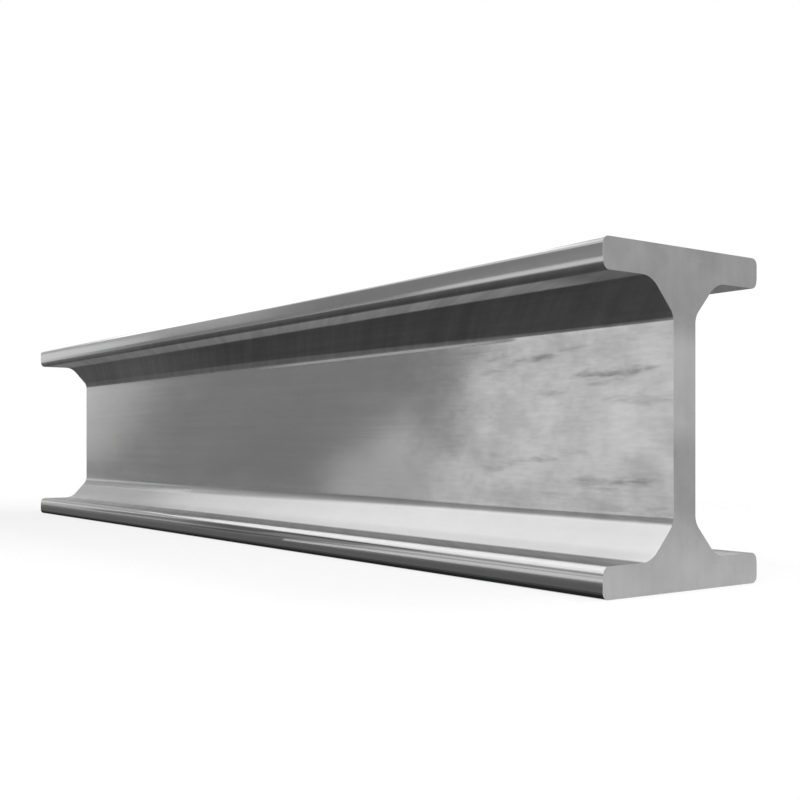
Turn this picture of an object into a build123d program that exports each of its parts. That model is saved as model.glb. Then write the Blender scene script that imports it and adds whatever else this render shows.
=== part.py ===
"""A short length of rolled steel I-beam: parallel flanges, a thick web, straight haunches and sawn ends.

The beam is one rolled bar. Millimetres. The origin is on the face that the beam rests on, under the
middle of its length, with +X along the bar, +Y across the flanges and +Z up through the web.
"""

import os

from build123d import *

# Rolled section
SECTION_DEPTH = 127.0
FLANGE_WIDTH = 86.0
FLANGE_THICKNESS = 12.0
WEB_THICKNESS = 12.5

# Haunch: the straight slope that thickens each root between web and flange
HAUNCH_RUN = 12.0  # along the flange, from the face of the web
HAUNCH_DROP = 13.2  # along the web, from the inner face of the flange
HAUNCH_FLANGE_RADIUS = 8.0  # blend of the slope into the flange
HAUNCH_WEB_RADIUS = 7.0  # blend of the slope into the web

# Flange toes, rounded by the edging rolls
TOE_OUTER_RADIUS = 2.8
TOE_INNER_RADIUS = 3.2

# Saw cuts
BEAM_LENGTH = 600.0
EDGE_BREAK = 0.4  # burr filed off round each cut


def quarter_corners():
    """One quarter of the section from toe to web: (across, up) from its centre, and the corner's radius."""
    top = SECTION_DEPTH / 2
    toe = FLANGE_WIDTH / 2
    web = WEB_THICKNESS / 2
    flange_inside = top - FLANGE_THICKNESS
    return [
        (toe, top, TOE_OUTER_RADIUS),
        (toe, flange_inside, TOE_INNER_RADIUS),
        (web + HAUNCH_RUN, flange_inside, HAUNCH_FLANGE_RADIUS),
        (web, flange_inside - HAUNCH_DROP, HAUNCH_WEB_RADIUS),
    ]


def rolled_section():
    """The whole section as the rolls leave it, standing on Z = 0: the quarter mirrored down and across."""
    upper_right = quarter_corners()
    right = upper_right + [(across, -up, radius) for across, up, radius in reversed(upper_right)]
    left = [(-across, up, radius) for across, up, radius in reversed(right)]
    corners = right + left
    points = [(across, up) for across, up, _ in corners]
    radii = [radius for _, _, radius in corners]

    mid_depth = Plane(origin=(0, 0, SECTION_DEPTH / 2), x_dir=(0, 1, 0), z_dir=(1, 0, 0))
    with BuildSketch(mid_depth) as section:
        with BuildLine():
            FilletPolyline(*points, radius=radii, close=True)
        make_face()
    return section.sketch


def sawn_length(section):
    """The bar cut to length, with the edges of both cuts broken."""
    bar = extrude(section, amount=BEAM_LENGTH / 2, both=True)
    cut_faces = bar.faces().filter_by(Axis.X)
    return chamfer(cut_faces.edges(), EDGE_BREAK)


os.makedirs("parts", exist_ok=True)
i_beam = sawn_length(rolled_section())
export_step(i_beam, "parts/i_beam.step")
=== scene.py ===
from math import radians

import bpy
from mathutils import Matrix, Vector


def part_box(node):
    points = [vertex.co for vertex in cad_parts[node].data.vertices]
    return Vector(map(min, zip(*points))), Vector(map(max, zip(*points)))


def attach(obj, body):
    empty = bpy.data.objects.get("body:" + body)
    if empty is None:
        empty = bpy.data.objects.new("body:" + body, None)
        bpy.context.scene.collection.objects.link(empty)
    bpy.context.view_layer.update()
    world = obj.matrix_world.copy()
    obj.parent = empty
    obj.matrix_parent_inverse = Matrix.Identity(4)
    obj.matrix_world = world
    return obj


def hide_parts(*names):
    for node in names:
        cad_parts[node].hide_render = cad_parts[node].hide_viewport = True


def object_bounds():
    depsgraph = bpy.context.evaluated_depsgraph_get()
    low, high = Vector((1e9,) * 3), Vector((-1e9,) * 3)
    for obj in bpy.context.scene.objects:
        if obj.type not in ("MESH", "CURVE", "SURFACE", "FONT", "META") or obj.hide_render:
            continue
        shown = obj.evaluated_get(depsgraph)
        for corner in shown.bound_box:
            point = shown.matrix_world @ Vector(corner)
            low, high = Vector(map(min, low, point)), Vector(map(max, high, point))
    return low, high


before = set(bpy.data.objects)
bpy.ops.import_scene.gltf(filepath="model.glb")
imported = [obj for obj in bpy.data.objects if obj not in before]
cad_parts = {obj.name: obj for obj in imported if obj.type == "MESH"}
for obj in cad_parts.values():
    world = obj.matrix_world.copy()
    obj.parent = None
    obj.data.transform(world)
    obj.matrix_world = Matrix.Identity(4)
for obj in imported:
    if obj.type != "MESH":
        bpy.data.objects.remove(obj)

cad_low, cad_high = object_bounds()


# The rolled bar
# One length of steel, hot rolled through grooved rolls that form web, flanges, haunches and toes in the
# same passes. Its surface is drawn out lengthwise, with faint waves that the rolls leave.

def put(tree, kind, inputs=None, **settings):
    """Adds a node with its settings, and gives each input a value or a socket to follow."""
    made = tree.nodes.new(kind)
    for name, value in settings.items():
        setattr(made, name, value)
    for name, value in (inputs or {}).items():
        if isinstance(value, bpy.types.NodeSocket):
            tree.links.new(value, made.inputs[name])
        else:
            made.inputs[name].default_value = value
    return made


def calc(tree, operation, *values):
    """One arithmetic step on numbers or sockets."""
    return put(tree, "ShaderNodeMath", dict(enumerate(values)), operation=operation).outputs[0]


def calc_vector(tree, operation, *values):
    """One arithmetic step on vectors."""
    return put(tree, "ShaderNodeVectorMath", dict(enumerate(values)), operation=operation).outputs[0]


def choose(tree, index, values):
    """The value that stands at that place in the list."""
    switch = put(tree, "GeometryNodeIndexSwitch", data_type="FLOAT")
    while len(switch.index_switch_items) < len(values):
        switch.index_switch_items.new()
    tree.links.new(index, switch.inputs["Index"])
    for place, value in enumerate(values):
        tree.links.new(value, switch.inputs[str(place)])
    return switch.outputs[0]


bar_low, bar_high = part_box("i_beam")
bar_size = bar_high - bar_low
BAR_INPUTS = {
    "Length": ("NodeSocketFloat", bar_size.x),
    "Depth": ("NodeSocketFloat", bar_size.z),
    "Width": ("NodeSocketFloat", bar_size.y),
    "Flange Thickness": ("NodeSocketFloat", 0.012),
    "Web Thickness": ("NodeSocketFloat", 0.0125),
    "Haunch Run": ("NodeSocketFloat", 0.012),
    "Haunch Drop": ("NodeSocketFloat", 0.0132),
    "Haunch Flange Radius": ("NodeSocketFloat", 0.011),
    "Haunch Web Radius": ("NodeSocketFloat", 0.007),
    "Toe Outer Radius": ("NodeSocketFloat", 0.0028),
    "Toe Inner Radius": ("NodeSocketFloat", 0.0030),
    "Toe Lean": ("NodeSocketFloat", 0.00056),
    "Toe Lean Start": ("NodeSocketFloat", 0.0080),
    "Toe Lean Radius": ("NodeSocketFloat", 0.015),
    "Edge Break": ("NodeSocketFloat", 0.00008),
    "Points per Arc": ("NodeSocketInt", 9),
    "Strip Width": ("NodeSocketFloat", 0.004),
    "Wave Height": ("NodeSocketFloat", 0.00008),
    "Wave Seed": ("NodeSocketFloat", 4.0),
    "Rolled Finish": ("NodeSocketMaterial", bpy.data.materials.new("rolled_steel_skin")),
    "Sawn Finish": ("NodeSocketMaterial", bpy.data.materials.new("sawn_steel")),
}
CORNERS_IN_QUARTER = 5
QUARTERS = 4
WAVE_STRETCH = (7.0, 40.0, 40.0)  # waves per metre along the bar, across it and up it
WAVE_DETAIL = 2.0
MAP_GAP = 0.01  # left between the skin and the cuts where they are laid out flat
EXTRA_STATIONS = 3.0  # the last one of the body, and one past it at each cut
STATION_SLACK = 0.0001  # so that rounding carries no station of the body past an end
CUT_FACING = 0.9  # how nearly a cut faces along the bar
SEAM_JUMP = 0.25  # share of the girth that no face spans, except across the seam
CRISP_SHARE = 0.25  # a face with more of its corners beside a cut than this stays crisp


def rolled_bar_tree():
    """The quarter section mirrored round, its corners filleted, drawn along the bar and capped."""
    tree = bpy.data.node_groups.new("rolled bar", "GeometryNodeTree")
    tree.interface.new_socket("Geometry", in_out="OUTPUT", socket_type="NodeSocketGeometry")
    for name, (kind, _) in BAR_INPUTS.items():
        tree.interface.new_socket(name, in_out="INPUT", socket_type=kind)
    size = put(tree, "NodeGroupInput").outputs

    # Corners of the section, counted round from the upper left toe
    index = put(tree, "GeometryNodeInputIndex").outputs[0]
    corner_count = CORNERS_IN_QUARTER * QUARTERS
    middle = (corner_count - 1) / 2
    along_quarter = calc(tree, "PINGPONG", calc(tree, "ADD", index, 0.5), CORNERS_IN_QUARTER)
    corner = calc(tree, "FLOOR", along_quarter)
    right_side = calc(tree, "SIGN", calc(tree, "SUBTRACT", index, middle))
    from_middle = calc(tree, "ABSOLUTE", calc(tree, "SUBTRACT", index, middle))
    upper_half = calc(tree, "SIGN", calc(tree, "SUBTRACT", from_middle, CORNERS_IN_QUARTER))

    toe = calc(tree, "MULTIPLY", size["Width"], 0.5)
    web = calc(tree, "MULTIPLY", size["Web Thickness"], 0.5)
    top = calc(tree, "MULTIPLY", size["Depth"], 0.5)
    flange_inside = calc(tree, "SUBTRACT", top, size["Flange Thickness"])
    haunch_out = calc(tree, "ADD", web, size["Haunch Run"])
    haunch_down = calc(tree, "SUBTRACT", flange_inside, size["Haunch Drop"])
    toe_inside = calc(tree, "SUBTRACT", toe, size["Toe Lean"])
    lean_start = calc(tree, "SUBTRACT", top, size["Toe Lean Start"])
    across = choose(tree, corner, [toe, toe, toe_inside, haunch_out, web])
    up = choose(tree, corner, [top, lean_start, flange_inside, flange_inside, haunch_down])
    radius = choose(tree, corner, [
        size["Toe Outer Radius"],
        size["Toe Lean Radius"],
        size["Toe Inner Radius"],
        size["Haunch Flange Radius"],
        size["Haunch Web Radius"],
    ])
    place = put(tree, "ShaderNodeCombineXYZ", {
        "X": calc(tree, "MULTIPLY", across, right_side),
        "Y": calc(tree, "MULTIPLY", up, upper_half),
    }).outputs[0]
    ring = put(tree, "GeometryNodeCurvePrimitiveCircle", {"Resolution": corner_count})
    sharp = put(tree, "GeometryNodeSetPosition", {"Geometry": ring.outputs["Curve"], "Position": place})
    rounded = put(tree, "GeometryNodeFilletCurve", {
        "Curve": sharp.outputs[0],
        "Count": size["Points per Arc"],
        "Radius": radius,
    }, mode="POLY")

    # Flats are divided into strips, so that the roundings beside them shade as roundings
    here = put(tree, "GeometryNodeInputPosition").outputs[0]
    following = put(tree, "GeometryNodeOffsetPointInCurve", {"Offset": 1}).outputs["Point Index"]
    there = put(tree, "GeometryNodeFieldAtIndex", {"Value": here, "Index": following},
                data_type="FLOAT_VECTOR", domain="POINT").outputs[0]
    run = put(tree, "ShaderNodeVectorMath", {0: here, 1: there}, operation="DISTANCE").outputs["Value"]
    cuts = calc(tree, "FLOOR", calc(tree, "DIVIDE", run, size["Strip Width"]))
    section = put(tree, "GeometryNodeSubdivideCurve", {"Curve": rounded.outputs[0], "Cuts": cuts})
    around = put(tree, "GeometryNodeCaptureAttribute", {"Geometry": section.outputs[0]}, domain="POINT")
    around.capture_items.new("FLOAT", "around")
    girth_so_far = put(tree, "GeometryNodeSplineParameter").outputs["Length"]
    tree.links.new(girth_so_far, around.inputs["around"])
    girth = put(tree, "GeometryNodeCurveLength", {"Curve": section.outputs[0]}).outputs[0]

    # The line that the section is drawn along, with one short step at each cut for its broken edge
    half_length = calc(tree, "MULTIPLY", size["Length"], 0.5)
    half_body = calc(tree, "SUBTRACT", half_length, size["Edge Break"])
    body_steps = calc(tree, "CEIL", calc(tree, "DIVIDE", size["Length"], size["Strip Width"]))
    stations = calc(tree, "ADD", body_steps, EXTRA_STATIONS)
    share = calc(tree, "DIVIDE", calc(tree, "SUBTRACT", index, 1.0), body_steps)
    past_end = calc(tree, "GREATER_THAN", share, 1.0 + STATION_SLACK)
    before_start = calc(tree, "LESS_THAN", share, -STATION_SLACK)
    on_body = put(tree, "ShaderNodeMapRange", {
        "Value": share,
        "To Min": calc(tree, "MULTIPLY", half_body, -1.0),
        "To Max": half_body,
    }, clamp=True).outputs[0]
    beyond = calc(tree, "MULTIPLY", calc(tree, "SUBTRACT", past_end, before_start), size["Edge Break"])
    station = put(tree, "ShaderNodeCombineXYZ", {
        "X": calc(tree, "ADD", on_body, beyond),
        "Z": top,
    }).outputs[0]
    line = put(tree, "GeometryNodeCurvePrimitiveLine", {"End": (1.0, 0.0, 0.0)})
    spine = put(tree, "GeometryNodeResampleCurve", {"Curve": line.outputs[0], "Count": stations})
    spine = put(tree, "GeometryNodeSetPosition", {"Geometry": spine.outputs[0], "Position": station})
    spine = put(tree, "GeometryNodeSetCurveNormal", {"Curve": spine.outputs[0], "Normal": (0.0, 1.0, 0.0)},
                mode="FREE")
    bar = put(tree, "GeometryNodeCurveToMesh", {
        "Curve": spine.outputs[0],
        "Profile Curve": around.outputs["Geometry"],
        "Fill Caps": True,
    }).outputs[0]

    # Broken edges of the cuts, then the rolls' faint waves, which only ever go inwards
    normal = put(tree, "GeometryNodeInputNormal").outputs[0]
    outward = calc_vector(tree, "NORMALIZE", calc_vector(tree, "MULTIPLY", normal, (0.0, 1.0, 1.0)))
    x_here, y_here, z_here = put(tree, "ShaderNodeSeparateXYZ", {0: here}).outputs
    half_break = calc(tree, "MULTIPLY", size["Edge Break"], 0.5)
    at_cut = calc(tree, "GREATER_THAN", calc(tree, "ABSOLUTE", x_here),
                  calc(tree, "SUBTRACT", half_length, half_break))
    inward_break = put(tree, "ShaderNodeVectorMath", {
        0: outward,
        "Scale": calc(tree, "MULTIPLY", size["Edge Break"], -1.0),
    }, operation="SCALE").outputs[0]
    bar = put(tree, "GeometryNodeSetPosition", {
        "Geometry": bar, "Selection": at_cut, "Offset": inward_break,
    }).outputs[0]
    wave = put(tree, "ShaderNodeTexNoise", {
        "Vector": calc_vector(tree, "MULTIPLY", here, WAVE_STRETCH),
        "W": size["Wave Seed"],
        "Scale": 1.0,
        "Detail": WAVE_DETAIL,
    }, noise_dimensions="4D").outputs[0]
    inward_wave = put(tree, "ShaderNodeVectorMath", {
        0: outward,
        "Scale": calc(tree, "MULTIPLY", calc(tree, "MULTIPLY", wave, size["Wave Height"]), -1.0),
    }, operation="SCALE").outputs[0]
    bar = put(tree, "GeometryNodeSetPosition", {"Geometry": bar, "Offset": inward_wave}).outputs[0]

    # Map for the finish: the skin rolled out flat, with the two cuts beside it
    facing = calc(tree, "ABSOLUTE", put(tree, "ShaderNodeSeparateXYZ", {0: normal}).outputs["X"])
    on_cut = calc(tree, "GREATER_THAN", facing, CUT_FACING)
    face_on_cut = put(tree, "GeometryNodeFieldOnDomain", {0: on_cut}, data_type="FLOAT",
                      domain="FACE").outputs[0]
    face_around = put(tree, "GeometryNodeFieldOnDomain", {0: around.outputs["around"]}, data_type="FLOAT",
                      domain="FACE").outputs[0]
    seam_jump = calc(tree, "MULTIPLY", girth, SEAM_JUMP)
    behind = calc(tree, "SUBTRACT", face_around, around.outputs["around"])
    closing = calc(tree, "MULTIPLY", calc(tree, "GREATER_THAN", behind, seam_jump), girth)
    rolled_u = calc(tree, "ADD", x_here, half_length)
    rolled_v = calc(tree, "ADD", around.outputs["around"], closing)
    cut_column = calc(tree, "ADD", size["Length"], MAP_GAP)
    second_cut = calc(tree, "MULTIPLY", calc(tree, "GREATER_THAN", x_here, 0.0),
                      calc(tree, "ADD", size["Depth"], MAP_GAP))
    cut_u = calc(tree, "ADD", calc(tree, "ADD", y_here, toe), cut_column)
    cut_v = calc(tree, "ADD", z_here, second_cut)
    map_width = calc(tree, "ADD", calc(tree, "ADD", cut_column, size["Width"]), MAP_GAP)
    map_height = calc(tree, "ADD", girth, MAP_GAP)
    flat_u = put(tree, "GeometryNodeSwitch", {"Switch": face_on_cut, "False": rolled_u, "True": cut_u},
                 input_type="FLOAT").outputs[0]
    flat_v = put(tree, "GeometryNodeSwitch", {"Switch": face_on_cut, "False": rolled_v, "True": cut_v},
                 input_type="FLOAT").outputs[0]
    flat_place = put(tree, "ShaderNodeCombineXYZ", {
        "X": calc(tree, "DIVIDE", flat_u, map_width),
        "Y": calc(tree, "DIVIDE", flat_v, map_height),
    }).outputs[0]
    bar = put(tree, "GeometryNodeStoreNamedAttribute", {
        "Geometry": bar, "Name": "OFBake", "Value": flat_place,
    }, data_type="FLOAT2", domain="CORNER").outputs[0]

    # Rolled skin shades smooth; the cuts and their broken edges stay crisp
    beside_cut = calc(tree, "GREATER_THAN", calc(tree, "ABSOLUTE", x_here),
                      calc(tree, "SUBTRACT", half_body, half_break))
    face_beside_cut = put(tree, "GeometryNodeFieldOnDomain", {0: beside_cut}, data_type="FLOAT",
                          domain="FACE").outputs[0]
    skin_face = calc(tree, "LESS_THAN", face_beside_cut, CRISP_SHARE)
    bar = put(tree, "GeometryNodeSetShadeSmooth", {"Geometry": bar, "Shade Smooth": skin_face},
              domain="FACE").outputs[0]
    bar = put(tree, "GeometryNodeRealizeInstances", {"Geometry": bar}).outputs[0]
    bar = put(tree, "GeometryNodeSetMaterial", {
        "Geometry": bar, "Material": size["Rolled Finish"],
    }).outputs[0]
    bar = put(tree, "GeometryNodeSetMaterial", {
        "Geometry": bar, "Selection": face_on_cut, "Material": size["Sawn Finish"],
    }).outputs[0]
    put(tree, "NodeGroupOutput", {"Geometry": bar})
    return tree


def plain_mesh(name, tree, values):
    """A piece whose mesh is what the tree makes with these values, with no modifier left on it."""
    piece = bpy.data.objects.new(name, bpy.data.meshes.new(name))
    bpy.context.scene.collection.objects.link(piece)
    maker = piece.modifiers.new(name, "NODES")
    maker.node_group = tree
    for item in tree.interface.items_tree:
        if item.in_out == "INPUT":
            maker[item.identifier] = values[item.name]
    made = piece.evaluated_get(bpy.context.evaluated_depsgraph_get())
    mesh = bpy.data.meshes.new_from_object(made)
    piece.modifiers.remove(maker)
    piece.data = mesh
    return piece


bar_tree = rolled_bar_tree()
bar = plain_mesh("rolled_bar", bar_tree, {name: value for name, (_, value) in BAR_INPUTS.items()})
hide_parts("i_beam")
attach(bar, "root")


# Rolled finish
# Satin steel, drawn out lengthwise by the rolls, with fine streaks and a cloudy tone. Painted shade lies
# under the upper flange, on the inside of the lower flange and in the lower root; painted light and
# highlights lie on the lower haunch, the lower toe, the web under the upper root and the upper rounds.
# The near part of the web has dragged scuffs from handling.

def shader_group(name, inputs, outputs):
    """An empty shader node group with these named sockets, and its input and output nodes."""
    group = bpy.data.node_groups.new(name, "ShaderNodeTree")
    for socket, kind in inputs.items():
        group.interface.new_socket(socket, in_out="INPUT", socket_type=kind)
    for socket in outputs:
        group.interface.new_socket(socket, in_out="OUTPUT", socket_type="NodeSocketFloat")
    return group, put(group, "NodeGroupInput").outputs, put(group, "NodeGroupOutput").inputs


def ramp(tree, value, limits):
    """0 up to the first limit, 1 past the second, and a smooth rise between them."""
    start, end = limits
    return put(tree, "ShaderNodeMapRange", {"Value": value, "From Min": start, "From Max": end},
               interpolation_type="SMOOTHSTEP").outputs[0]


def mix(tree, share, low, high):
    """A value from low, at share 0, to high, at share 1."""
    made = put(tree, "ShaderNodeMix", {0: share, 2: low, 3: high}, data_type="FLOAT")
    return made.outputs[0]


def graded(tree, value, limits, ends):
    """Goes from the first end to the second as the value goes from the first limit to the second."""
    return mix(tree, ramp(tree, value, limits), *ends)


def patch(tree, *edges):
    """1 inside all of its edges and 0 outside any: an edge is a value and the limits of its ramp."""
    inside = ramp(tree, *edges[0])
    for edge in edges[1:]:
        inside = calc(tree, "MULTIPLY", inside, ramp(tree, *edge))
    return inside


def without(tree, whole, part):
    """A patch with another one cut out of it."""
    return calc(tree, "MULTIPLY", whole, calc(tree, "SUBTRACT", 1.0, part))


def swing(tree, grains, width):
    """A grain as a swing about zero, that wide from its lowest to its highest."""
    return calc(tree, "MULTIPLY", calc(tree, "SUBTRACT", grains, 0.5), width)


GRAIN_ROUGHNESS = 0.6
GRAIN_CONTRAST = (0.25, 0.75)  # the noise levels that become 0 and 1
SCUFF_RISE = 0.03  # height gained for each length along the bar
SCUFF_THINNEST = 0.35  # share of a mark's depth that is left between its threads
RIM_TO_CENTRE = (1.0, 0.0)  # distance from a mark's centre, as a share of its reach


def drawn_grain_group():
    """Noise drawn out along the axes: Stretch is how many grains there are in a metre along each."""
    group, given, result = shader_group("drawn grain", {
        "Position": "NodeSocketVector",
        "Stretch": "NodeSocketVector",
        "Detail": "NodeSocketFloat",
    }, ["Grain"])
    noise = put(group, "ShaderNodeTexNoise", {
        "Vector": calc_vector(group, "MULTIPLY", given["Position"], given["Stretch"]),
        "Scale": 1.0,
        "Detail": given["Detail"],
        "Roughness": GRAIN_ROUGHNESS,
    })
    group.links.new(ramp(group, noise.outputs[0], GRAIN_CONTRAST), result["Grain"])
    return group


def scuff_group():
    """One soft mark, dragged along the bar and rising a little: 1 where it is deepest, 0 outside it."""
    group, given, result = shader_group("dragged scuff", {
        "Position": "NodeSocketVector",
        "Threads": "NodeSocketFloat",
        "Centre": "NodeSocketVector",
        "Reach": "NodeSocketVector",
        "Depth": "NodeSocketFloat",
    }, ["Mark"])
    from_centre = calc_vector(group, "SUBTRACT", given["Position"], given["Centre"])
    along, outward, height = put(group, "ShaderNodeSeparateXYZ", {0: from_centre}).outputs
    level = calc(group, "SUBTRACT", height, calc(group, "MULTIPLY", along, SCUFF_RISE))
    turned = put(group, "ShaderNodeCombineXYZ", {"X": along, "Y": outward, "Z": level}).outputs[0]
    away = calc_vector(group, "DIVIDE", turned, given["Reach"])
    distance = put(group, "ShaderNodeVectorMath", {0: away}, operation="LENGTH").outputs["Value"]
    within = ramp(group, distance, RIM_TO_CENTRE)
    frayed = calc(group, "MULTIPLY", within, mix(group, given["Threads"], SCUFF_THINNEST, 1.0))
    group.links.new(calc(group, "MULTIPLY", frayed, given["Depth"]), result["Mark"])
    return group


drawn_grain = drawn_grain_group()
scuff = scuff_group()


def grain(tree, position, stretch, detail):
    """One layer of drawn grain in a finish."""
    return put(tree, "ShaderNodeGroup", {"Position": position, "Stretch": stretch, "Detail": detail},
               node_tree=drawn_grain).outputs["Grain"]


def steel(material):
    """Readies a finish as bare metal, and gives its tree, its shader and the piece's coordinates."""
    material.use_nodes = True
    tree = material.node_tree
    principled = tree.nodes["Principled BSDF"]
    principled.inputs["Metallic"].default_value = 1.0
    position = put(tree, "ShaderNodeTexCoord").outputs["Object"]
    return tree, principled, position


tree, shader, position = steel(BAR_INPUTS["Rolled Finish"][1])
place_x, place_y, place_z = put(tree, "ShaderNodeSeparateXYZ", {0: position}).outputs
from_web = calc(tree, "ABSOLUTE", place_y)

# Grain of the skin, in grains per metre along the bar, across it and up it
STREAKS = (5.0, 320.0, 320.0)
CLOUDS = (10.0, 28.0, 28.0)
BLOTS = (52.0, 70.0, 70.0)
THREADS = (110.0, 300.0, 620.0)
SLURS = (150.0, 15.0, 15.0)
SLUR_SLANT = 1.75  # length along the bar for each width across it
SKIN_DETAIL = 3.0
streaks = grain(tree, position, STREAKS, SKIN_DETAIL)
clouds = grain(tree, position, CLOUDS, SKIN_DETAIL)
blots = grain(tree, position, BLOTS, SKIN_DETAIL)
threads = grain(tree, position, THREADS, SKIN_DETAIL)
slant = calc(tree, "SUBTRACT", place_x, calc(tree, "MULTIPLY", from_web, SLUR_SLANT))
slanted = put(tree, "ShaderNodeCombineXYZ", {"X": slant, "Y": from_web, "Z": place_z}).outputs[0]
slurs = grain(tree, slanted, SLURS, SKIN_DETAIL)

# Dragged scuffs: place along the bar, height above the underside, half length, half height, depth
SCUFFS = [
    (0.2556, 0.0818, 0.0110, 0.0030, 0.90),
    (0.2686, 0.0818, 0.0190, 0.0022, 1.00),
    (0.2834, 0.0826, 0.0140, 0.0022, 1.00),
    (0.2754, 0.0808, 0.0180, 0.0018, 0.45),
    (0.2660, 0.0788, 0.0160, 0.0017, 0.55),
    (0.2309, 0.0903, 0.0120, 0.0024, 0.85),
    (0.2170, 0.0900, 0.0140, 0.0020, 0.50),
    (0.2100, 0.0883, 0.0140, 0.0020, 0.40),
    (0.2010, 0.0861, 0.0150, 0.0018, 0.40),
    (0.2036, 0.0921, 0.0110, 0.0019, 0.45),
    (0.2490, 0.0930, 0.0120, 0.0019, 0.45),
    (0.2360, 0.0753, 0.0130, 0.0024, 0.50),
    (0.2711, 0.0717, 0.0150, 0.0018, 0.45),
    (0.2920, 0.0708, 0.0190, 0.0044, 0.45),
]
SCUFF_REPEATS = (0.0, -0.0422)  # the same marks come again lower on the web
SCUFF_WANDER = (130.0, 130.0, 380.0)  # bends per metre along the bar, across it and up it
SCUFF_SHIFT = (0.012, 0.0, 0.0030)  # how far a bend carries a mark's edge
SCUFF_DEPTH_REACH = 0.003
NOISE_MIDDLE = (0.5, 0.5, 0.5)
web_face_y = BAR_INPUTS["Web Thickness"][1] / 2
bends = put(tree, "ShaderNodeTexNoise", {
    "Vector": calc_vector(tree, "MULTIPLY", position, SCUFF_WANDER),
    "Scale": 1.0,
    "Detail": SKIN_DETAIL,
}).outputs["Color"]
wander = calc_vector(tree, "MULTIPLY", calc_vector(tree, "SUBTRACT", bends, NOISE_MIDDLE), SCUFF_SHIFT)
wandering = calc_vector(tree, "ADD", position, wander)
marks = 0.0
for drop in SCUFF_REPEATS:
    for along, height, half_length, half_height, depth in SCUFFS:
        mark = put(tree, "ShaderNodeGroup", {
            "Position": wandering,
            "Threads": threads,
            "Centre": (along, -web_face_y, height + drop),
            "Reach": (half_length, SCUFF_DEPTH_REACH, half_height),
            "Depth": depth,
        }, node_tree=scuff).outputs["Mark"]
        marks = calc(tree, "MAXIMUM", marks, mark)

# Patches of the skin: a pair of limits, in metres, goes from where a patch is nothing to where it is full
TOP = bar_high.z
TOE = bar_high.y
RAGGEDNESS = 0.0006  # how far the clouds carry an edge in and out
EDGE_BLUR = (-0.0003, 0.0003)

# Painted shade, from the upper root out over the inside of the upper flange
UPPER_SHADE_FOOT = (TOP - 0.0274, TOP - 0.0267)
UPPER_SHADE_HEAD = (TOP - 0.0088, TOP - 0.0097)
UPPER_SHADE_DRIFT_ALONG = (-0.10, 0.28)
UPPER_SHADE_DRIFT = (0.0, 0.0016)  # the root's deep tone reaches further out towards the near end
above = patch(tree, (place_z, UPPER_SHADE_FOOT), (place_z, UPPER_SHADE_HEAD))
ragged = calc(tree, "ADD", from_web, swing(tree, clouds, RAGGEDNESS))
upper_shade_edge = calc(tree, "SUBTRACT", ragged, graded(tree, place_x, UPPER_SHADE_DRIFT_ALONG, UPPER_SHADE_DRIFT))

# Painted shade on the inside of the lower flange, outside the haunch
LOWER_FOOT = (0.006, 0.009)
LOWER_HEAD = (0.040, 0.030)
FLAT_INNER = (0.0200, 0.0230)
FLAT_OUTER = (TOE - 0.0018, TOE - 0.0028)
below = patch(tree, (place_z, LOWER_FOOT), (place_z, LOWER_HEAD))
lit_haunch_edge = calc(tree, "MULTIPLY", calc(tree, "ADD", ragged, upper_shade_edge), 0.5)
on_flat = patch(tree, (lit_haunch_edge, FLAT_INNER), (from_web, FLAT_OUTER))

# Painted highlight: a pale band on the arris along the inner edge of the lower toe
ARRIS_FOOT_ALONG = (0.0, 0.28)
ARRIS_FOOT = (0.0102, 0.0094)
ARRIS_OUT = (TOE - 0.0025, TOE - 0.0015)
ARRIS_ALONG = (-0.08, 0.05)
over_foot = calc(tree, "SUBTRACT", place_z, graded(tree, place_x, ARRIS_FOOT_ALONG, ARRIS_FOOT))
arris_highlight = patch(tree, (from_web, ARRIS_OUT), (over_foot, EDGE_BLUR), (place_x, ARRIS_ALONG))
arris_highlight = calc(tree, "MULTIPLY", arris_highlight, below)
painted_shade = without(tree, calc(tree, "MAXIMUM", above, calc(tree, "MULTIPLY", below, on_flat)), arris_highlight)

# Painted shade: a dark line on the face of the lower toe, right under the arris
SHADE_HEAD = EDGE_BLUR[::-1]
SHADE_FOOT_ALONG = (0.0, 0.22)
SHADE_FOOT = (0.0062, 0.0086)
SHADE_OUT = (TOE - 0.0018, TOE - 0.0012)
SHADE_ALONG = (-0.06, 0.02)
over_shade = calc(tree, "SUBTRACT", place_z, graded(tree, place_x, SHADE_FOOT_ALONG, SHADE_FOOT))
toe_shade = patch(tree, (over_foot, SHADE_HEAD), (over_shade, EDGE_BLUR), (from_web, SHADE_OUT),
                  (place_x, SHADE_ALONG))

# Painted light: a pale patch on the lower haunch, with a crisper top edge towards the near end
LIT_HAUNCH_ALONG = (-0.12, 0.20)
LIT_HAUNCH_TOP = (0.0225, 0.0247)
LIT_HAUNCH_FADE = (0.0015, 0.0008)
LIT_HAUNCH_HEAD = (-1.0, 1.0)  # in fades below the top edge
LIT_HAUNCH_OUT = (0.0230, 0.0200)
lit_haunch_top = graded(tree, place_x, LIT_HAUNCH_ALONG, LIT_HAUNCH_TOP)
lit_haunch_fade = graded(tree, place_x, LIT_HAUNCH_ALONG, LIT_HAUNCH_FADE)
under_top = calc(tree, "DIVIDE", calc(tree, "SUBTRACT", lit_haunch_top, place_z), lit_haunch_fade)
painted_light = patch(tree, (under_top, LIT_HAUNCH_HEAD), (lit_haunch_edge, LIT_HAUNCH_OUT))
painted_light = calc(tree, "MAXIMUM", calc(tree, "MULTIPLY", painted_light, below), arris_highlight)

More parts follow.
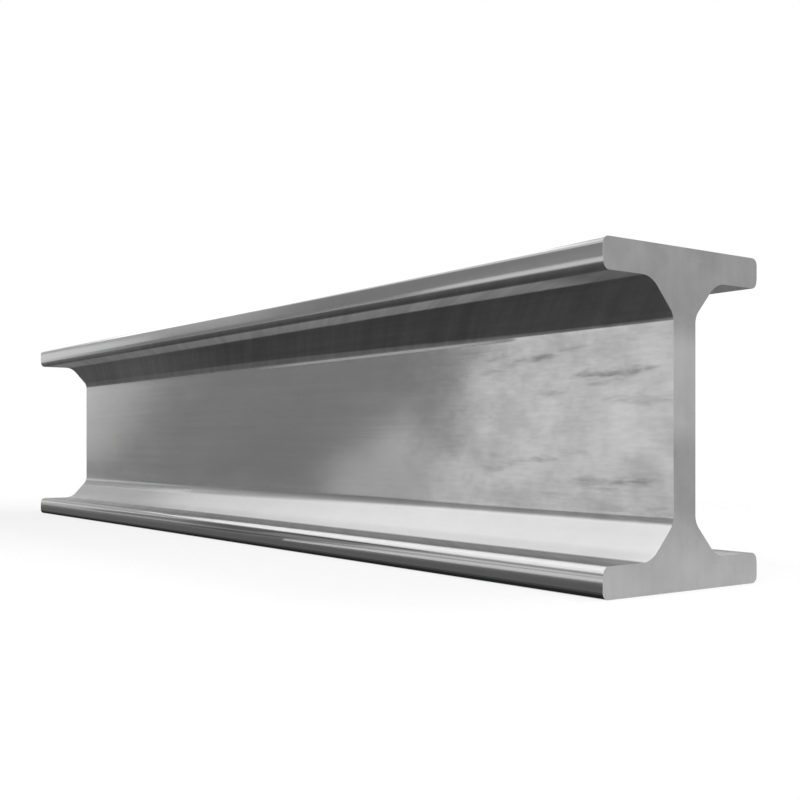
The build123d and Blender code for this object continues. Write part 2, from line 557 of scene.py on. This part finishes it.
# Painted highlight: a pale line along the web, right under the painted shade
WEB_HIGHLIGHT_FOOT = (TOP - 0.0287, TOP - 0.0281)
WEB_HIGHLIGHT_HEAD = (TOP - 0.0269, TOP - 0.0274)
WEB_HIGHLIGHT_FAR = (-0.02, 0.03)
WEB_HIGHLIGHT_NEAR = (0.22, 0.18)
web_highlight = patch(tree, (place_z, WEB_HIGHLIGHT_FOOT), (place_z, WEB_HIGHLIGHT_HEAD), (place_x, WEB_HIGHLIGHT_FAR), (place_x, WEB_HIGHLIGHT_NEAR))
painted_light = calc(tree, "MAXIMUM", painted_light, web_highlight)

# Painted shade: a dark line in the crease along the lower root, between the painted light and the web
ROOT_TOP_ALONG = (0.20, 0.10)
ROOT_TOP = (0.0271, 0.0278)
ROOT_HEAD = (-0.0004, 0.0004)
ROOT_FOOT = (1.0, -0.2)  # in fades below the painted light's top edge
under_root = calc(tree, "SUBTRACT", graded(tree, place_x, ROOT_TOP_ALONG, ROOT_TOP), place_z)
root_shade_line = patch(tree, (under_root, ROOT_HEAD), (under_top, ROOT_FOOT))

# Upper flange's outer round and the flat beside it, and the lower toe under its arris
ROUND_FOOT = (TOP - 0.0010, TOP - 0.0004)
ROUND_OUT = (TOE - 0.0040, TOE - 0.0030)
FLAT_TOP_FOOT = (TOP - 0.0006, TOP - 0.0003)
FLAT_TOP_OUT = (TOE - 0.0032, TOE - 0.0050)
LOW_TOE_HEAD = (0.0122, 0.0118)
LOW_TOE_OUT = (TOE - 0.0030, TOE - 0.0024)
top_round = patch(tree, (place_z, ROUND_FOOT), (from_web, ROUND_OUT))
flat_top = patch(tree, (place_z, FLAT_TOP_FOOT), (from_web, FLAT_TOP_OUT))
low_toe = without(tree, patch(tree, (place_z, LOW_TOE_HEAD), (from_web, LOW_TOE_OUT)), arris_highlight)

# Near part of the web, blotched by handling
HANDLED_ALONG = (0.10, 0.20)
HANDLED_OUT = (0.012, 0.008)
HANDLED_HEAD = (TOP - 0.015, TOP - 0.019)
handled = patch(tree, (place_x, HANDLED_ALONG), (from_web, HANDLED_OUT), (place_z, HANDLED_HEAD))
handled = without(tree, handled, painted_light)

# Tone of the painted shade under the upper flange: deepest in the root and by the toe, with a grey band
# along its foot
UPPER_SHADE_TONE_ALONG = (0.255, 0.286)
UPPER_SHADE_TONE = (0.58, 0.26)
DEEP_TONE_ALONG = (-0.02, -0.20)
DEEP_TONE = (0.085, 0.20)
DEEP_INNER = (0.0222, 0.0196)
DEEP_OUTER = (TOE - 0.0045, TOE - 0.0022)
SHADE_BAND_TOP_ALONG = (0.34, -0.05)
SHADE_BAND_TOP = (TOP - 0.0265, TOP - 0.0237)
SHADE_BAND_HEAD = (-0.0005, 0.0005)
SHADE_BAND_TONE = 0.25
SHADE_BAND_FOOT = (TOP - 0.0258, TOP - 0.0271)
SHADE_BAND_FOOT_TONE = 0.34
upper_shade_tone = graded(tree, place_x, UPPER_SHADE_TONE_ALONG, UPPER_SHADE_TONE)
deep_tone = graded(tree, place_x, DEEP_TONE_ALONG, DEEP_TONE)
upper_shade_tone = graded(tree, upper_shade_edge, DEEP_INNER, (upper_shade_tone, deep_tone))
upper_shade_tone = graded(tree, from_web, DEEP_OUTER, (upper_shade_tone, deep_tone))
under_shade_band = calc(tree, "SUBTRACT", graded(tree, place_x, SHADE_BAND_TOP_ALONG, SHADE_BAND_TOP), place_z)
upper_shade_tone = graded(tree, under_shade_band, SHADE_BAND_HEAD, (upper_shade_tone, SHADE_BAND_TONE))
upper_shade_tone = graded(tree, place_z, SHADE_BAND_FOOT, (upper_shade_tone, SHADE_BAND_FOOT_TONE))

# Tone of the painted shade on the lower flange: lighter at the far end and on the far side, darker by the
# toe
FLANGE_FAR = (0.0, -0.18)
FLANGE_BACK = (0.0, 0.02)
FLANGE_TONE = (0.20, 0.36)
FLANGE_OUT = (TOE - 0.012, TOE - 0.005)
FLANGE_OUT_SHARE = (1.0, 0.74)
SLUR_SHARE = (0.86, 1.14)
away = calc(tree, "MAXIMUM", ramp(tree, place_x, FLANGE_FAR), ramp(tree, place_y, FLANGE_BACK))
flange_tone = mix(tree, away, *FLANGE_TONE)
flange_tone = calc(tree, "MULTIPLY", flange_tone, graded(tree, from_web, FLANGE_OUT, FLANGE_OUT_SHARE))
painted_shade_tone = mix(tree, above, flange_tone, upper_shade_tone)
painted_shade_tone = calc(tree, "MULTIPLY", painted_shade_tone, mix(tree, slurs, *SLUR_SHARE))

# Tone of the painted light: it fades towards the far end
LIT_HAUNCH_TONE_ALONG = (-0.19, -0.07)
LIT_HAUNCH_TONE = (0.41, 0.73)
LIT_HAUNCH_GAIN_ALONG = (-0.12, 0.16)
LIT_HAUNCH_GAIN = (1.0, 1.16)
ARRIS_HIGHLIGHT_TONE = 0.83
painted_light_tone = graded(tree, place_x, LIT_HAUNCH_TONE_ALONG, LIT_HAUNCH_TONE)
painted_light_tone = calc(tree, "MULTIPLY", painted_light_tone, graded(tree, place_x, LIT_HAUNCH_GAIN_ALONG, LIT_HAUNCH_GAIN))
painted_light_tone = mix(tree, arris_highlight, painted_light_tone, ARRIS_HIGHLIGHT_TONE)

# Tone of the whole skin
BARE_TONE = 0.50
ROOT_SHADE_TONE_ALONG = (0.0, -0.18)
ROOT_SHADE_TONE = (0.31, 0.38)
SHADE_TONE = 0.25
STREAK_SWING = 0.02
CLOUD_SWING = 0.03
BLOT_SWING = 0.27
THREAD_SWING = -0.11
WEAR_SHARE = (0.12, 1.0)  # away from the handled part, and on it
SCUFF_SHARE = (1.0, 0.58)
ROUND_HIGHLIGHT_TONE = 0.80
tone = mix(tree, root_shade_line, BARE_TONE, graded(tree, place_x, ROOT_SHADE_TONE_ALONG, ROOT_SHADE_TONE))
tone = mix(tree, toe_shade, tone, SHADE_TONE)
tone = mix(tree, painted_light, tone, painted_light_tone)
tone = mix(tree, painted_shade, tone, painted_shade_tone)
tone = calc(tree, "ADD", tone, swing(tree, streaks, STREAK_SWING))
tone = calc(tree, "ADD", tone, swing(tree, clouds, CLOUD_SWING))
wear = calc(tree, "ADD", swing(tree, blots, BLOT_SWING), swing(tree, threads, THREAD_SWING))
wear = calc(tree, "MULTIPLY", wear, mix(tree, handled, *WEAR_SHARE))
tone = calc(tree, "MULTIPLY", tone, calc(tree, "ADD", 1.0, wear))
tone = calc(tree, "MULTIPLY", tone, mix(tree, marks, *SCUFF_SHARE))
# Painted highlight: the outer round of the upper flange is made paler
tone = mix(tree, top_round, tone, ROUND_HIGHLIGHT_TONE)
tree.links.new(tone, shader.inputs["Base Color"])

# Where light or shade is painted, the metal is dulled too
DULLED = (0.0, 0.2)  # the painted light dulls the metal from the first share, and fully from the second
PAINTED_LIGHT_METAL = 0.4
PAINTED_SHADE_METAL = 0.1
dulled = ramp(tree, painted_light, DULLED)
metal = mix(tree, dulled, 1.0, PAINTED_LIGHT_METAL)
metal = mix(tree, painted_shade, metal, PAINTED_SHADE_METAL)
tree.links.new(metal, shader.inputs["Metallic"])

# Roughness: bare satin, dull where light or shade is painted or a scuff lies, bright on the rounds
BARE_ROUGH = (0.13, 0.16)
PAINTED_LIGHT_ROUGH = 0.5
PAINTED_SHADE_ROUGH = 0.65
ROOT_ROUGH_ALONG = (-0.16, -0.04)
ROOT_ROUGH = (0.17, 0.40)
STREAK_ROUGH = 0.014
SCUFF_ROUGH = 0.12
ROUND_ROUGH = 0.05
FLAT_TOP_ROUGH = 0.27
LOW_TOE_ROUGH = 0.09
rough = mix(tree, clouds, *BARE_ROUGH)
rough = mix(tree, dulled, rough, PAINTED_LIGHT_ROUGH)
rough = mix(tree, painted_shade, rough, PAINTED_SHADE_ROUGH)
rough = mix(tree, root_shade_line, rough, graded(tree, place_x, ROOT_ROUGH_ALONG, ROOT_ROUGH))
rough = calc(tree, "ADD", rough, calc(tree, "MULTIPLY", streaks, STREAK_ROUGH))
rough = calc(tree, "ADD", rough, calc(tree, "MULTIPLY", marks, SCUFF_ROUGH))
rough = mix(tree, top_round, rough, ROUND_ROUGH)
rough = mix(tree, flat_top, rough, FLAT_TOP_ROUGH)
rough = mix(tree, low_toe, rough, LOW_TOE_ROUGH)
tree.links.new(rough, shader.inputs["Roughness"])

# Lengthwise grain of the metal itself, and the fine relief of streaks and scuffs
GRAIN_PULL = 0.4
STREAK_RELIEF = 0.5
SCUFF_RELIEF = 1.5
SKIN_RELIEF = 0.06
RELIEF_DEPTH = 0.0002
shader.inputs["Anisotropic"].default_value = GRAIN_PULL
around_bar = put(tree, "ShaderNodeTangent", direction_type="RADIAL", axis="X")
tree.links.new(around_bar.outputs[0], shader.inputs["Tangent"])
relief = calc(tree, "SUBTRACT", calc(tree, "MULTIPLY", streaks, STREAK_RELIEF),
              calc(tree, "MULTIPLY", marks, SCUFF_RELIEF))
bump = put(tree, "ShaderNodeBump", {"Height": relief, "Strength": SKIN_RELIEF, "Distance": RELIEF_DEPTH})
tree.links.new(bump.outputs[0], shader.inputs["Normal"])


# Sawn ends
# Both ends are sawn square, with the burr filed off. The cut is matt and grey, with faint upright marks
# left by the blade.
BLADE_MARKS = (40.0, 330.0, 16.0)  # marks per metre along the bar, across it and up it
MOTTLE = (40.0, 45.0, 38.0)
CUT_DETAIL = 4.0
LIGHT_BAND_FOOT = (0.050, 0.064)
LIGHT_BAND_HEAD = (0.100, 0.088)
CUT_TONE = (0.32, 0.43)  # outside the light band, and in it
HEAD_RISE = (0.106, 0.114)
HEAD_RISE_TONE = 0.012
FOOT_RISE = (0.040, 0.0)
FOOT_RISE_TONE = 0.13
MOTTLE_SWING = 0.09
BLADE_SWING = 0.015
CUT_ROUGH = (0.50, 0.60)
CUT_RELIEF = 0.04
tree, shader, position = steel(BAR_INPUTS["Sawn Finish"][1])
blade_marks = grain(tree, position, BLADE_MARKS, CUT_DETAIL)
mottle = grain(tree, position, MOTTLE, CUT_DETAIL)
height = put(tree, "ShaderNodeSeparateXYZ", {0: position}).outputs["Z"]
light_band = patch(tree, (height, LIGHT_BAND_FOOT), (height, LIGHT_BAND_HEAD))
tone = mix(tree, light_band, *CUT_TONE)
tone = calc(tree, "ADD", tone, calc(tree, "MULTIPLY", ramp(tree, height, HEAD_RISE), HEAD_RISE_TONE))
# Painted light: the cut is made paler towards its foot, as if lit from the floor in front
tone = calc(tree, "ADD", tone, calc(tree, "MULTIPLY", ramp(tree, height, FOOT_RISE), FOOT_RISE_TONE))
tone = calc(tree, "ADD", tone, swing(tree, mottle, MOTTLE_SWING))
tone = calc(tree, "ADD", tone, swing(tree, blade_marks, BLADE_SWING))
tree.links.new(tone, shader.inputs["Base Color"])
tree.links.new(mix(tree, mottle, *CUT_ROUGH), shader.inputs["Roughness"])
bump = put(tree, "ShaderNodeBump", {
    "Height": blade_marks,
    "Strength": CUT_RELIEF,
    "Distance": RELIEF_DEPTH,
})
tree.links.new(bump.outputs[0], shader.inputs["Normal"])


# Floor and light
# A wide white floor in a white studio, with soft boxes at both sides and at the far end. Cards and mats,
# from black to white, lie and stand beside the bar, out of the picture, for the bare steel to mirror.

def seen_or_mirrored(tree):
    """1 for what the camera sees, directly, in a mirror or through glass, and 0 for light on its way."""
    path = put(tree, "ShaderNodeLightPath").outputs
    mirrored = calc(tree, "MAXIMUM", path["Is Glossy Ray"], path["Is Transmission Ray"])
    return calc(tree, "MAXIMUM", path["Is Camera Ray"], mirrored)


def stage_sheet(name, corners, material):
    """A flat four-cornered sheet that belongs to the stage."""
    mesh = bpy.data.meshes.new(name)
    mesh.from_pydata(corners, [], [(0, 1, 2, 3)])
    mesh.materials.append(material)
    sheet = bpy.data.objects.new(name, mesh)
    bpy.context.scene.collection.objects.link(sheet)
    return sheet


def level_corners(far, near, inner, outer, height):
    """Corners of a level sheet between two places along the bar and two across it."""
    return [(far, inner, height), (near, inner, height), (near, outer, height), (far, outer, height)]


FLOOR_REACH = 40.0
FLOOR_TONE = 0.9
FLOOR_BOUNCE = 0.30  # the floor's tone for the light that it throws on the bar
FLOOR_GLOW = (0.75, 1.0)  # share of even white near the bar, where its shadow falls, and away from it
GLOW_RISE = (0.25, 0.6)  # distances from the middle of the bar
floor_white = bpy.data.materials.new("white floor")
floor_white.use_nodes = True
tree = floor_white.node_tree
matt = tree.nodes["Principled BSDF"]
matt.inputs["Roughness"].default_value = 1.0
matt.inputs["Specular IOR Level"].default_value = 0.0
seen = seen_or_mirrored(tree)
tree.links.new(mix(tree, seen, FLOOR_BOUNCE, FLOOR_TONE), matt.inputs["Base Color"])
glow = put(tree, "ShaderNodeEmission", {"Strength": 1.0})
from_bar = put(tree, "ShaderNodeVectorMath", {0: put(tree, "ShaderNodeTexCoord").outputs["Object"]},
               operation="LENGTH").outputs["Value"]
both = put(tree, "ShaderNodeMixShader", {
    0: calc(tree, "MULTIPLY", seen, graded(tree, from_bar, GLOW_RISE, FLOOR_GLOW)),
    1: matt.outputs[0],
    2: glow.outputs[0],
})
tree.links.new(both.outputs[0], tree.nodes["Material Output"].inputs["Surface"])
stage_sheet("floor", level_corners(-FLOOR_REACH, FLOOR_REACH, -FLOOR_REACH, FLOOR_REACH, 0.0), floor_white)

ROOM_LIGHT = 0.40
WHITE = (1.0, 1.0, 1.0, 1.0)
studio = bpy.data.worlds.new("white studio")
bpy.context.scene.world = studio
studio.use_nodes = True
tree = studio.node_tree
level = mix(tree, seen_or_mirrored(tree), ROOM_LIGHT, 1.0)
tree.links.new(level, tree.nodes["Background"].inputs["Strength"])
tree.nodes["Background"].inputs["Color"].default_value = WHITE


def card_finish(name, level):
    """A plain card, evenly lit to that level."""
    finish = bpy.data.materials.new(name)
    finish.use_nodes = True
    tree = finish.node_tree
    tree.nodes.remove(tree.nodes["Principled BSDF"])
    even = put(tree, "ShaderNodeEmission", {"Strength": level})
    tree.links.new(even.outputs[0], tree.nodes["Material Output"].inputs["Surface"])
    return finish


BLACK_CARD = card_finish("black card", 0.03)
SOOT_CARD = card_finish("soot card", 0.09)
DIM_CARD = card_finish("dim card", 0.17)
DARK_CARD = card_finish("dark card", 0.25)
GREY_CARD = card_finish("grey card", 0.31)
PALE_CARD = card_finish("pale card", 0.60)
MILD_CARD = card_finish("mild card", 0.68)
WHITE_CARD = card_finish("white card", 0.90)
BRIGHT_CARD = card_finish("bright card", 1.00)


def card(name, corners, finish):
    """A card that only the bare steel sees: it throws no shadow and isn't in the picture."""
    sheet = stage_sheet(name, corners, finish)
    sheet.visible_camera = False
    sheet.visible_diffuse = False
    sheet.visible_shadow = False


SIDES = (("front", -1.0), ("back", 1.0))
ROOM_FAR = -1.75
ROOM_NEAR = 0.8
ROOM_SIDE = 0.8
ROOM_TOP = 1.6
LOW_HEAD = 0.25  # height of the low cards' heads
HIGH_FOOT = 0.5
STRIP_OUT = 0.060
# Cards that stand along the bar: distance out, finish, and corners as a place along the bar and a height
STANDING_CARDS = {
    "leaning card": (ROOM_SIDE, GREY_CARD, (-1.15, 0.0), (-2.30, 0.0),
                     (-2.00, LOW_HEAD), (-0.65, LOW_HEAD)),
    "far card": (ROOM_SIDE, MILD_CARD, (-2.30, 0.0), (-2.75, 0.0),
                 (-2.45, LOW_HEAD), (-2.00, LOW_HEAD)),
    "upright card": (ROOM_SIDE, GREY_CARD, (-0.79, 0.0), (-0.91, 0.0),
                     (-0.91, LOW_HEAD), (-0.79, LOW_HEAD)),
    "high card": (ROOM_SIDE, BRIGHT_CARD, (ROOM_NEAR, HIGH_FOOT), (ROOM_FAR, HIGH_FOOT),
                  (ROOM_FAR, ROOM_TOP), (ROOM_NEAR, ROOM_TOP)),
    "low strip": (STRIP_OUT, BRIGHT_CARD, (0.31, 0.0036), (0.05, 0.0028), (0.05, 0.0034), (0.31, 0.0068)),
}
MAT_HEIGHT = 0.0004
UPPER_MAT_HEIGHT = 0.0006
# Mats on the floor: finish, far and near ends along the bar, inner and outer edges, height
MATS = {
    "far mat": (DARK_CARD, -1.3, -0.302, 0.0, 0.036, MAT_HEIGHT),
    "inner mat": (BLACK_CARD, -1.5, 0.3, 0.036, 0.044, MAT_HEIGHT),
    "near mat": (SOOT_CARD, -1.5, 0.3, 0.044, 0.049, MAT_HEIGHT),
    "middle mat": (DIM_CARD, -1.5, 0.3, 0.049, 0.075, MAT_HEIGHT),
    "outer mat": (DARK_CARD, -2.3, 0.3, 0.075, 1.0, MAT_HEIGHT),
    "pale mat": (PALE_CARD, -0.9, 0.3, 0.095, 0.28, UPPER_MAT_HEIGHT),
}
SCREEN_HEAD = 0.045
# Screens that lean away: finish, foot's height, then distance out, near and far end of foot and of head
SCREENS = {
    "low screen": (WHITE_CARD, 0.0, (0.280, 0.450, -0.378), (0.370, 0.450, -0.480)),
    "low band": (MILD_CARD, 0.0005, (0.278, -0.197, -0.378), (0.368, -0.314, -0.480)),
}
END_X = -1.3
END_CARD_FOOT = 0.25
END_CARD_HEAD = 0.52
END_CARD_OUT = 0.9
for side, turn in SIDES:
    for name, (out, finish, *outline) in STANDING_CARDS.items():
        card(f"{side} {name}", [(along, turn * out, height) for along, height in outline], finish)
    for name, (finish, far, near, inner, outer, height) in MATS.items():
        card(f"{side} {name}", level_corners(far, near, turn * inner, turn * outer, height), finish)
    for name, (finish, foot, low_edge, high_edge) in SCREENS.items():
        low_out, low_near, low_far = low_edge
        high_out, high_near, high_far = high_edge
        card(f"{side} {name}", [
            (low_near, turn * low_out, foot),
            (low_far, turn * low_out, foot),
            (high_far, turn * high_out, SCREEN_HEAD),
            (high_near, turn * high_out, SCREEN_HEAD),
        ], finish)
    card(f"{side} end card", [
        (END_X, 0.0, END_CARD_FOOT),
        (END_X, turn * END_CARD_OUT, END_CARD_FOOT),
        (END_X, turn * END_CARD_OUT, END_CARD_HEAD),
        (END_X, 0.0, END_CARD_HEAD),
    ], PALE_CARD)
card("ceiling card", level_corners(ROOM_FAR, ROOM_NEAR, -ROOM_SIDE, ROOM_SIDE, ROOM_TOP), BRIGHT_CARD)
LONG_CARD = [(0.6, 0.25), (-1.9, 0.23), (-1.5, 0.45), (0.6, 0.45)]  # corners along the bar and up
card("front long card", [(along, -ROOM_SIDE, height) for along, height in LONG_CARD], GREY_CARD)


def soft_box(name, size, place, aim, power):
    """A rectangular lamp, aimed at a point and out of the picture."""
    lamp = bpy.data.lights.new(name, "AREA")
    lamp.shape = "RECTANGLE"
    lamp.size, lamp.size_y = size
    lamp.energy = power
    box = bpy.data.objects.new(name, lamp)
    box.location = place
    box.rotation_euler = (Vector(aim) - Vector(place)).to_track_quat("-Z", "Y").to_euler()
    box.visible_camera = False
    bpy.context.scene.collection.objects.link(box)
    return box


SIDE_BOX_SIZE = (0.7, 0.35)
SIDE_BOX_ALONG = 0.28
SIDE_BOX_OUT = 0.42
SIDE_BOX_HEIGHT = 0.62
SIDE_BOX_AIM = (SIDE_BOX_ALONG, 0.0, 0.05)
SIDE_BOX_POWER = 3.75
END_BOX_SIZE = (1.6, 0.9)
END_BOX_PLACE = (END_X, 0.0, 1.05)
END_BOX_AIM = (0.0, 0.0, 0.1)
END_BOX_POWER = 4.6
for side, turn in SIDES:
    side_place = (SIDE_BOX_ALONG, turn * SIDE_BOX_OUT, SIDE_BOX_HEIGHT)
    side_box = soft_box(f"{side} soft box", SIDE_BOX_SIZE, side_place, SIDE_BOX_AIM, SIDE_BOX_POWER)
    side_box.visible_glossy = False
end_box = soft_box("end soft box", END_BOX_SIZE, END_BOX_PLACE, END_BOX_AIM, END_BOX_POWER)
end_box.visible_diffuse = False
bpy.context.scene.view_settings.view_transform = "Standard"


# Camera
# A level view camera with a normal lens, close to the near end, with its lens shifted up a little.
LENS = 0.0498
SENSOR = 0.036
TURN_FROM_BAR = radians(35.95)
NEAR_CORNER_DEPTH = 0.3831
NEAR_CORNER_RIGHT = 0.0702
EYE_HEIGHT = 0.0544
LENS_SHIFT = 0.0550
CLIP_START = 0.01
MM = 1000.0

toward = Vector((-1.0, 0.0, 0.0))
toward.rotate(Matrix.Rotation(-TURN_FROM_BAR, 3, "Z"))
rightward = toward.cross(Vector((0.0, 0.0, 1.0)))
near_corner = Vector((cad_high.x, cad_low.y, 0.0))
eye = near_corner - rightward * NEAR_CORNER_RIGHT - toward * NEAR_CORNER_DEPTH
eye.z = EYE_HEIGHT
lens = bpy.data.cameras.new("view camera")
lens.lens = LENS * MM
lens.sensor_width = SENSOR * MM
lens.shift_y = LENS_SHIFT
lens.clip_start = CLIP_START
camera = bpy.data.objects.new("view camera", lens)
camera.location = eye
camera.rotation_euler = toward.to_track_quat("-Z", "Y").to_euler()
bpy.context.scene.collection.objects.link(camera)
bpy.context.scene.camera = camera
